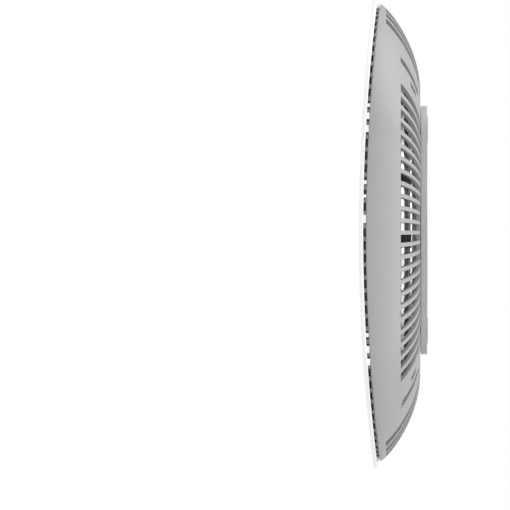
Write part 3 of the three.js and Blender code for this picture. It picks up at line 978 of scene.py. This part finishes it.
def build_ports():
    """The port bay's tray, its sockets with gold contacts, the switch and the tact switches."""
    refine_all(
        ("port_tray", dark_finish(), "dark_plastic", 0.3),
        ("lan_jack_1", tin_finish(), "tinned_sheet", 0.2),
        ("lan_jack_2", tin_finish(), "tinned_sheet", 0.2),
        ("dc_jack", dark_finish(), "dark_plastic", 0.2),
        ("switch_housing", dark_finish(), "dark_plastic", 0.2),
        ("pair_tact", dark_finish(), "tact_plastic", 0.1),
        ("reset_tact", dark_finish(), "tact_plastic", 0.1),
    )
    points, faces = join_parts([part for y in SOCKET_PLACES for part in contacts(y)])
    piece("socket_contacts", points, faces, gold_finish(), "aerial_metal")


def build_controls():
    """The rocker and the two push buttons, each riding its own body."""
    finish = key_finish()
    for node, width in (("power_rocker", 0.4), ("pair_button", 0.35), ("reset_button", 0.2)):
        refined(node, node + "_fine", finish, body=node, width=width, segments=3)


# ---- Stage ----

FLOOR_DROP = 0.25  # metres from the unit's middle down to the floor
FLOOR_GLOW = 0.02  # keeps the floor pale where little light reaches it
FLOOR_PALE = 0.8  # grey of the floor's paint
FLOOR_REACH = 3.0  # metres from its middle to each side
WORLD_LIGHT = 0.5  # strength of the even light on the unit; the white seen behind it is 1
CAMERA = (-0.014, -4.9, 0.0)
AIM = (-0.0746, 0.0, -0.0097)
SHOWN_WIDTH = 0.2208  # metres across the picture at the unit's middle
SENSOR = 36.0  # width of the camera's sensor, in millimetres


def build_floor():
    """A pale plain floor well under the unit, too short to reach the camera's horizon."""
    mesh = bpy.data.meshes.new("studio_floor")
    turns = ((-1, -1), (1, -1), (1, 1), (-1, 1))
    corners = [(x * FLOOR_REACH, y * FLOOR_REACH, -FLOOR_DROP) for x, y in turns]
    mesh.from_pydata(corners, [], [(0, 1, 2, 3)])
    floor = bpy.data.objects.new("studio_floor", mesh)
    material = bpy.data.materials.new("studio_floor_paint")
    material.use_nodes = True
    shader = material.node_tree.nodes["Principled BSDF"]
    shader.inputs["Base Color"].default_value = (FLOOR_PALE, FLOOR_PALE, FLOOR_PALE, 1)
    shader.inputs["Roughness"].default_value = 0.9
    shader.inputs["Emission Color"].default_value = (1, 1, 1, 1)
    shader.inputs["Emission Strength"].default_value = FLOOR_GLOW
    mesh.materials.append(material)
    bpy.context.scene.collection.objects.link(floor)


def add_soft_light(name, place, size_m, watts):
    """A square area light that faces the wall plane's middle and isn't seen itself."""
    lamp = bpy.data.lights.new(name, "AREA")
    lamp.size = size_m
    lamp.energy = watts
    obj = bpy.data.objects.new(name, lamp)
    obj.location = place
    obj.rotation_euler = (-Vector(place)).to_track_quat("-Z", "Y").to_euler()
    obj.visible_camera = False
    bpy.context.scene.collection.objects.link(obj)


def build_world():
    """A white studio: pure white behind the unit, and a softer even light on it."""
    world = bpy.data.worlds.new("white_studio")
    world.use_nodes = True
    tree = world.node_tree
    tree.nodes.clear()
    seen = add(tree, "ShaderNodeBackground", {"Color": (1, 1, 1, 1), "Strength": 1.0})
    light = add(tree, "ShaderNodeBackground", {"Color": (1, 1, 1, 1), "Strength": WORLD_LIGHT})
    ray = add(tree, "ShaderNodeLightPath").outputs["Is Camera Ray"]
    mix = add(tree, "ShaderNodeMixShader", {0: ray, 1: light.outputs[0], 2: seen.outputs[0]})
    add(tree, "ShaderNodeOutputWorld", {"Surface": mix.outputs[0]})
    bpy.context.scene.world = world


def build_camera():
    """A very long lens at the unit's own height, turned to put it right of the middle."""
    lens = bpy.data.cameras.new("camera")
    lens.sensor_width = SENSOR
    lens.lens = SENSOR * -CAMERA[1] / SHOWN_WIDTH
    lens.clip_start, lens.clip_end = 0.1, 100
    camera = bpy.data.objects.new("camera", lens)
    place = Vector(CAMERA)
    camera.location = place
    camera.rotation_euler = (Vector(AIM) - place).to_track_quat("-Z", "Y").to_euler()
    bpy.context.scene.collection.objects.link(camera)
    bpy.context.scene.camera = camera


# Name, place, size in metres and power in watts of each soft light.
LIGHTS = (
    ("soft_top", (0.5, -0.4, 1.9), 1.4, 19),
    ("soft_wall_side", (2.0, 0.5, 0.6), 1.4, 24),
    ("soft_cover_side", (-2.2, 0.2, 0.8), 1.6, 15),
    ("soft_front", (0.1, -3.0, 0.2), 1.0, 16),
)


def build_stage():
    """Floor, world, soft lights and camera. The standard transform keeps the white studio white."""
    build_floor()
    build_world()
    for light in LIGHTS:
        add_soft_light(*light)
    build_camera()
    bpy.context.scene.view_settings.view_transform = "Standard"


# ---- Add-on ----


def length(name, description, mm):
    """A length property, entered in the scene's unit."""
    return bpy.props.FloatProperty(
        name=name, description=description, default=mm * MM, min=0.0, unit="LENGTH"
    )


def colour(name, description, code):
    """A colour property."""
    return bpy.props.FloatVectorProperty(
        name=name, description=description, default=linear(code)[:3], subtype="COLOR", min=0, max=1
    )


class WifiNodeSizes(bpy.types.PropertyGroup):
    """Sizes of the grille, the gap and the walls."""

    wall: length("Wall", "Thickness of the rear shell's wall", 1.8)
    vent_bar: length("Gap bar", "Width of each bar across the gap", 1.95)
    vent_count: bpy.props.IntProperty(
        name="Gap bars", description="Bars across the gap, all the way round", default=128, min=8
    )
    slot_count: bpy.props.IntProperty(
        name="Slots",
        description="Cooling slots on one side of the shell",
        default=24,
        min=2,
        max=24,
    )
    slot_pitch: length("Slot pitch", "Step between two cooling slots along a side", 5.3)
    slot_open: bpy.props.FloatProperty(
        name="Slot share",
        description="Share of the pitch that is open",
        default=0.66,
        min=0.1,
        max=0.9,
    )
    slot_inner: length("Slot start", "Half size of the plan where the slots start", 62.2)
    side_top: length("Side slot top", "Height of the slots' top on the plain sides", 11.5)
    end_top: length("End slot top", "Height of the slots' top on the upper and lower ends", 17.8)


class WifiNodeColours(bpy.types.PropertyGroup):
    """Colours of the plastics."""

    cover: colour("Cover", "Front cover and its tabs", "#f6f6f5")
    shell: colour("Shell", "Rear shell with the grille", "#a2a3a4")
    # Darker than the shell: painted shade on the bars in the gap.
    bridge: colour("Gap bars", "Bars across the gap", "#8d8f91")
    foot: colour("Foot", "Square foot", "#b6b7b8")
    # The dark colour also paints the ring in the gap, where its black is painted shade.
    dark: colour("Dark parts", "Port tray, chassis and the ring in the gap", "#18191a")


class WIFINODE_OT_cover(bpy.types.Operator):
    """Builds the arched front cover with its snap tabs"""

    bl_idname = "wifi_node.cover"
    bl_label = "Front cover"

    def execute(self, context):
        build_cover()
        return {"FINISHED"}


class WIFINODE_OT_gap(bpy.types.Operator):
    """Builds the dark ring in the gap and the bars across it"""

    bl_idname = "wifi_node.gap"
    bl_label = "Vented gap"

    def execute(self, context):
        build_gap()
        return {"FINISHED"}


class WIFINODE_OT_shell(bpy.types.Operator):
    """Builds the rear shell with its cooling slots"""

    bl_idname = "wifi_node.shell"
    bl_label = "Rear shell"

    def execute(self, context):
        build_shell()
        return {"FINISHED"}


class WIFINODE_OT_foot(bpy.types.Operator):
    """Builds the square foot and its rubber pads"""

    bl_idname = "wifi_node.foot"
    bl_label = "Foot"

    def execute(self, context):
        build_foot()
        return {"FINISHED"}


class WIFINODE_OT_bracket(bpy.types.Operator):
    """Builds the twist-lock wall bracket"""

    bl_idname = "wifi_node.bracket"
    bl_label = "Wall bracket"

    def execute(self, context):
        build_bracket()
        return {"FINISHED"}


class WIFINODE_OT_inside(bpy.types.Operator):
    """Builds the board with its small parts, shields, spreader, chassis and aerials"""

    bl_idname = "wifi_node.inside"
    bl_label = "Parts inside"

    def execute(self, context):
        build_inside()
        build_small_parts()
        return {"FINISHED"}


class WIFINODE_OT_ports(bpy.types.Operator):
    """Builds the port tray, the sockets with their contacts and the switches"""

    bl_idname = "wifi_node.ports"
    bl_label = "Ports"

    def execute(self, context):
        build_ports()
        return {"FINISHED"}


class WIFINODE_OT_controls(bpy.types.Operator):
    """Builds the power rocker and the two push buttons"""

    bl_idname = "wifi_node.controls"
    bl_label = "Controls"

    def execute(self, context):
        build_controls()
        return {"FINISHED"}


class WIFINODE_OT_stage(bpy.types.Operator):
    """Builds the floor, the white studio light and the camera"""

    bl_idname = "wifi_node.stage"
    bl_label = "Stage"

    def execute(self, context):
        build_stage()
        return {"FINISHED"}


OPERATORS = (
    WIFINODE_OT_cover,
    WIFINODE_OT_gap,
    WIFINODE_OT_shell,
    WIFINODE_OT_foot,
    WIFINODE_OT_bracket,
    WIFINODE_OT_inside,
    WIFINODE_OT_ports,
    WIFINODE_OT_controls,
    WIFINODE_OT_stage,
)


class WIFINODE_PT_panel(bpy.types.Panel):
    """Lists the settings and the pieces"""

    bl_idname = "WIFINODE_PT_panel"
    bl_label = "Wifi Node"
    bl_space_type = "VIEW_3D"
    bl_region_type = "UI"
    bl_category = "Wifi Node"

    def draw(self, context):
        for group in (context.scene.wifi_node_sizes, context.scene.wifi_node_colours):
            box = self.layout.box()
            for name in type(group).__annotations__:
                box.prop(group, name)
        for operator in OPERATORS:
            self.layout.operator(operator.bl_idname)


CLASSES = (WifiNodeSizes, WifiNodeColours, *OPERATORS, WIFINODE_PT_panel)


def register():
    """Registers the classes and hangs the settings on the scene."""
    for cls in CLASSES:
        bpy.utils.register_class(cls)
    bpy.types.Scene.wifi_node_sizes = bpy.props.PointerProperty(type=WifiNodeSizes)
    bpy.types.Scene.wifi_node_colours = bpy.props.PointerProperty(type=WifiNodeColours)


def unregister():
    """Takes the settings and the classes away again."""
    del bpy.types.Scene.wifi_node_colours
    del bpy.types.Scene.wifi_node_sizes
    for cls in reversed(CLASSES):
        bpy.utils.unregister_class(cls)


def main():
    """Registers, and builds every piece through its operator."""
    register()
    for operator in OPERATORS:
        group, name = operator.bl_idname.split(".")
        getattr(getattr(bpy.ops, group), name)()


if __name__ == "__main__":
    main()
